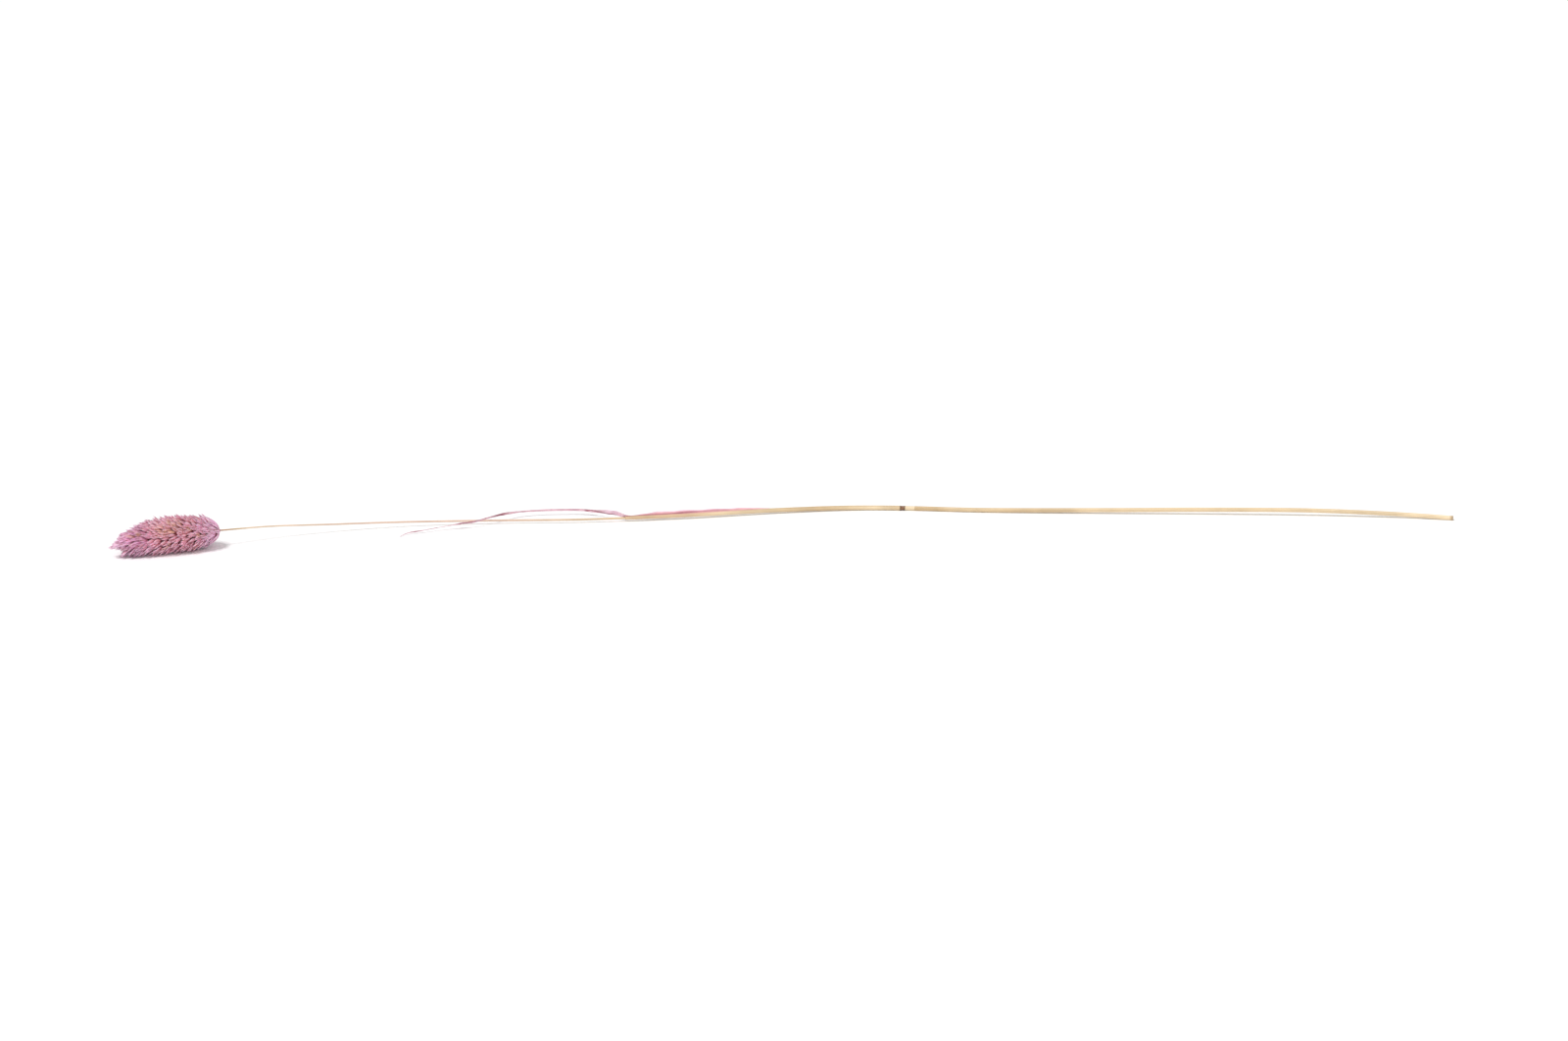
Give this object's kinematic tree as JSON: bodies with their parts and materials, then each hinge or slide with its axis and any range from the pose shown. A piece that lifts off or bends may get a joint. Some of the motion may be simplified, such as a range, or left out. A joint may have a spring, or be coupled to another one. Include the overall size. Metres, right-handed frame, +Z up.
{
  "type": "dried phalaris grass",
  "caption": "Cut stem of dried, dyed canary grass lying flat: a dense oval seed head on a thin bowed culm with a node, leaf sheaths and a twisted leaf.",
  "frame": {"origin": "on the surface that the stem lies on, under the middle of its bounding box", "axes": "+X along the stem from the seed head to the cut end, +Y away from the viewer, +Z up"},
  "size_m": [0.6426, 0.0796, 0.0177],
  "materials": {
    "seed_head": "matt dry spikelets, dyed lilac and dusty rose",
    "culm": "satin dry straw, brown at the node",
    "flag_leaf": "thin dry leaf, straw sheath and dyed pink blade",
    "lower_sheath": "satin dry straw with olive patches"
  },
  "bodies": {
    "root": {"seed_head": "seed_head", "culm": "culm", "flag_leaf": "flag_leaf", "lower_sheath": "lower_sheath"}
  },
  "joints": []
}
